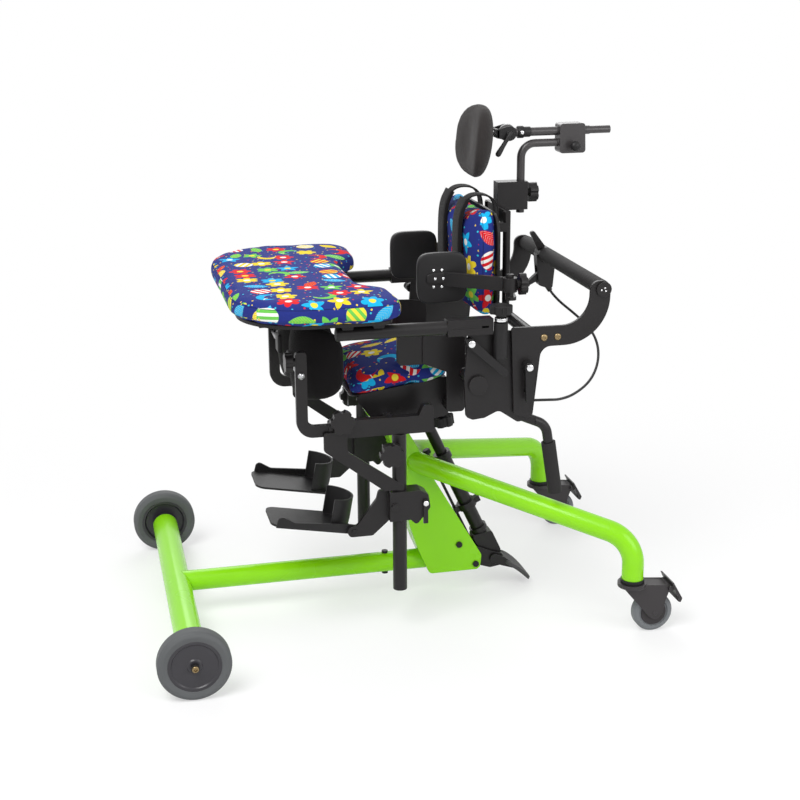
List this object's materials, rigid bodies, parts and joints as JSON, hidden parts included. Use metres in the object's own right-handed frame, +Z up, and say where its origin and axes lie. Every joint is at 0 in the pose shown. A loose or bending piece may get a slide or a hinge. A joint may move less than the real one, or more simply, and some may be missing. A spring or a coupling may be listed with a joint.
{
  "type": "standing frame",
  "caption": "Wheeled sit-to-stand standing frame with leaning mast, pump-raised tilting seat, upright back, padded tray, knee pads, footplates, laterals, headrest and push bar.",
  "frame": {"origin": "on the floor, midway across the width and midway between the front tyres' front and the brake pedals' rear edge", "axes": "+X to the sitter's left, +Y to the rear, +Z up"},
  "size_m": [0.7166, 0.9629, 0.946],
  "materials": {
    "green_paint": "glossy powder coat",
    "black_metal": "satin powder coat",
    "zinc": "satin",
    "black_plastic": "matte",
    "tyre_grey": "matte, non-marking",
    "castor_grey": "satin, non-marking",
    "grip_rubber": "foam grip",
    "pedal_grey": "moulded",
    "print_fabric": "printed cotton with bright motifs",
    "black_fabric": "woven",
    "dark_fabric": "soft vinyl and knit"
  },
  "bodies": {
    "base": {"front_cross_tube": "green_paint", "base_tube": "green_paint", "mast": "green_paint", "rear_legs": "green_paint", "frame_fasteners": "black_plastic", "pivot_tube": "zinc", "side_bars": "black_metal", "leg_tubes": "black_metal", "pump_bracket": "green_paint"},
    "front_wheel_left": {"front_hub_left": "black_plastic", "front_tyre_left": "tyre_grey"},
    "front_wheel_right": {"front_hub_right": "black_plastic", "front_tyre_right": "tyre_grey"},
    "castor_fork_left": {"castor_fork_left": "black_plastic"},
    "castor_wheel_left": {"castor_wheel_left": "castor_grey"},
    "brake_pedal_left": {"brake_pedal_left": "black_plastic"},
    "castor_fork_right": {"castor_fork_right": "black_plastic"},
    "castor_wheel_right": {"castor_wheel_right": "castor_grey"},
    "brake_pedal_right": {"brake_pedal_right": "black_plastic"},
    "seat": {"seat_frame": "black_metal", "seat_cushion": "print_fabric", "thigh_guides": "black_metal", "seat_depth_knob": "black_plastic"},
    "hip_yoke": {"hip_yoke": "black_metal"},
    "level_links": {"level_links": "black_metal"},
    "pump_cylinder": {"pump_cylinder": "black_metal"},
    "piston_rod": {"piston_rod": "black_metal"},
    "foot_pedal": {"foot_pedal": "pedal_grey"},
    "back_base": {"side_plate_left": "black_metal", "side_plate_right": "black_metal", "clamp_posts": "black_plastic", "grip_tube": "black_metal", "grip_sleeve": "grip_rubber"},
    "slot_lever_left": {"slot_lever_left": "black_plastic"},
    "slot_lever_right": {"slot_lever_right": "black_plastic"},
    "tray": {"tray_rails": "black_metal", "tray_board": "black_plastic", "tray_cover": "print_fabric"},
    "back_frame": {"back_plates": "black_metal", "push_bar": "black_metal", "push_bar_sleeve": "grip_rubber", "back_posts": "black_metal", "back_shell": "black_plastic", "back_cushion": "print_fabric", "harness": "black_fabric", "release_cable": "black_plastic"},
    "release_lever": {"release_lever": "black_plastic"},
    "lateral_left": {"lateral_left": "black_metal"},
    "lateral_right": {"lateral_right": "black_metal"},
    "gooseneck": {"headrest_post": "black_metal"},
    "head_rod": {"headrest_rod": "black_metal"},
    "head_pad": {"headrest_pad": "dark_fabric"},
    "knee_arm_left": {"knee_arm_left": "black_metal"},
    "knee_pad_left": {"knee_pad_left": "black_fabric"},
    "knee_arm_right": {"knee_arm_right": "black_metal"},
    "knee_pad_right": {"knee_pad_right": "black_fabric"},
    "foot_carrier_left": {"foot_carrier_left": "black_metal"},
    "footplate_left": {"footplate_left": "black_metal"},
    "foot_carrier_right": {"foot_carrier_right": "black_metal"},
    "footplate_right": {"footplate_right": "black_metal"}
  },
  "joints": [
    {"name": "front_wheel_left_roll", "type": "hinge", "parent": "base", "child": "front_wheel_left", "pos_m": [0.337, -0.418, 0.0635], "axis": [1, 0, 0], "continuous": true},
    {"name": "front_wheel_right_roll", "type": "hinge", "parent": "base", "child": "front_wheel_right", "pos_m": [-0.337, -0.418, 0.0635], "axis": [1, 0, 0], "continuous": true},
    {"name": "castor_left_swivel", "type": "hinge", "parent": "base", "child": "castor_fork_left", "pos_m": [0.272, 0.393, 0.098], "axis": [0, 0, 1], "continuous": true},
    {"name": "castor_wheel_left_roll", "type": "hinge", "parent": "castor_fork_left", "child": "castor_wheel_left", "pos_m": [0.272, 0.433, 0.0375], "axis": [1, 0, 0], "continuous": true},
    {"name": "brake_pedal_left_press", "type": "hinge", "parent": "castor_fork_left", "child": "brake_pedal_left", "pos_m": [0.272, 0.462, 0.086], "axis": [1, 0, 0], "range_deg": [-12, 0]},
    {"name": "castor_right_swivel", "type": "hinge", "parent": "base", "child": "castor_fork_right", "pos_m": [-0.272, 0.393, 0.098], "axis": [0, 0, 1], "continuous": true},
    {"name": "castor_wheel_right_roll", "type": "hinge", "parent": "castor_fork_right", "child": "castor_wheel_right", "pos_m": [-0.272, 0.433, 0.0375], "axis": [1, 0, 0], "continuous": true},
    {"name": "brake_pedal_right_press", "type": "hinge", "parent": "castor_fork_right", "child": "brake_pedal_right", "pos_m": [-0.272, 0.462, 0.086], "axis": [1, 0, 0], "range_deg": [-12, 0]},
    {"name": "seat_lift", "type": "hinge", "parent": "base", "child": "seat", "pos_m": [0, -0.032, 0.398], "axis": [1, 0, 0], "range_deg": [-8, 57]},
    {"name": "hip_level", "type": "hinge", "parent": "seat", "child": "hip_yoke", "pos_m": [0, 0.109, 0.482], "axis": [1, 0, 0], "range_deg": [-57, 8]},
    {"name": "level_link_swing", "type": "hinge", "parent": "base", "child": "level_links", "pos_m": [0, 0.028, 0.398], "axis": [1, 0, 0], "range_deg": [-8, 57]},
    {"name": "pump_lean", "type": "hinge", "parent": "base", "child": "pump_cylinder", "pos_m": [0, 0.203, 0.062], "axis": [1, 0, 0], "range_deg": [-2.22, 0.48]},
    {"name": "rod_slide", "type": "slide", "parent": "pump_cylinder", "child": "piston_rod", "axis": [0, -0.421, 0.907], "range_m": [-0.0118, 0.0811]},
    {"name": "foot_pedal_press", "type": "hinge", "parent": "base", "child": "foot_pedal", "pos_m": [0, 0.203, 0.062], "axis": [1, 0, 0], "range_deg": [-10, 0], "stiffness_Nm_per_rad": 1.2, "springref_deg": 20.05},
    {"name": "back_recline", "type": "hinge", "parent": "hip_yoke", "child": "back_base", "pos_m": [0, 0.109, 0.482], "axis": [1, 0, 0], "range_deg": [-25, 5]},
    {"name": "slot_lever_left_turn", "type": "hinge", "parent": "back_base", "child": "slot_lever_left", "pos_m": [0.233, 0.196, 0.514], "axis": [1, 0, 0], "range_deg": [-15, 60]},
    {"name": "slot_lever_right_turn", "type": "hinge", "parent": "back_base", "child": "slot_lever_right", "pos_m": [-0.233, 0.196, 0.514], "axis": [1, 0, 0], "range_deg": [-15, 60]},
    {"name": "tray_slide", "type": "slide", "parent": "back_base", "child": "tray", "axis": [0, 1, 0], "range_m": [-0.045, 0.02]},
    {"name": "back_height", "type": "slide", "parent": "back_base", "child": "back_frame", "axis": [0, 0, 1], "range_m": [0, 0.045]},
    {"name": "release_squeeze", "type": "hinge", "parent": "back_frame", "child": "release_lever", "pos_m": [-0.105, 0.3326, 0.6028], "axis": [1, 0, 0], "range_deg": [-12, 0], "stiffness_Nm_per_rad": 0.15, "springref_deg": 17.19},
    {"name": "lateral_left_swing", "type": "hinge", "parent": "back_frame", "child": "lateral_left", "pos_m": [0.19, 0.174, 0.652], "axis": [0, 0, 1], "range_deg": [-3, 70]},
    {"name": "lateral_right_swing", "type": "hinge", "parent": "back_frame", "child": "lateral_right", "pos_m": [-0.19, 0.174, 0.652], "axis": [0, 0, 1], "range_deg": [-70, 3]},
    {"name": "headrest_height", "type": "slide", "parent": "back_frame", "child": "gooseneck", "axis": [0, 0, 1], "range_m": [0, 0.04]},
    {"name": "headrest_depth", "type": "slide", "parent": "gooseneck", "child": "head_rod", "axis": [0, 1, 0], "range_m": [-0.04, 0.03]},
    {"name": "headrest_tilt", "type": "hinge", "parent": "head_rod", "child": "head_pad", "pos_m": [0, 0.223, 0.893], "axis": [1, 0, 0], "range_deg": [-20, 12]},
    {"name": "knee_arm_left_depth", "type": "slide", "parent": "base", "child": "knee_arm_left", "axis": [0, 1, 0], "range_m": [-0.05, 0]},
    {"name": "knee_pad_left_tilt", "type": "hinge", "parent": "knee_arm_left", "child": "knee_pad_left", "pos_m": [0.165, -0.196, 0.506], "axis": [1, 0, 0], "range_deg": [-18, 18]},
    {"name": "knee_arm_right_depth", "type": "slide", "parent": "base", "child": "knee_arm_right", "axis": [0, 1, 0], "range_m": [-0.05, 0]},
    {"name": "knee_pad_right_tilt", "type": "hinge", "parent": "knee_arm_right", "child": "knee_pad_right", "pos_m": [-0.165, -0.196, 0.506], "axis": [1, 0, 0], "range_deg": [-18, 18]},
    {"name": "foot_left_height", "type": "slide", "parent": "base", "child": "foot_carrier_left", "axis": [0, 0, 1], "range_m": [-0.1, 0]},
    {"name": "footplate_left_tilt", "type": "hinge", "parent": "foot_carrier_left", "child": "footplate_left", "pos_m": [0.159, -0.105, 0.203], "axis": [1, 0, 0], "range_deg": [-15, 15]},
    {"name": "foot_right_height", "type": "slide", "parent": "base", "child": "foot_carrier_right", "axis": [0, 0, 1], "range_m": [-0.1, 0]},
    {"name": "footplate_right_tilt", "type": "hinge", "parent": "foot_carrier_right", "child": "footplate_right", "pos_m": [-0.159, -0.105, 0.203], "axis": [1, 0, 0], "range_deg": [-15, 15]}
  ],
  "couplings": [
    {"joint": "hip_level", "follows": "seat_lift", "ratio": -1},
    {"joint": "level_link_swing", "follows": "seat_lift", "ratio": 1},
    {"joint": "pump_lean", "follows": "seat_lift", "ratio": -0.0355},
    {"joint": "rod_slide", "follows": "seat_lift", "m_per_rad": 0.081}
  ]
}
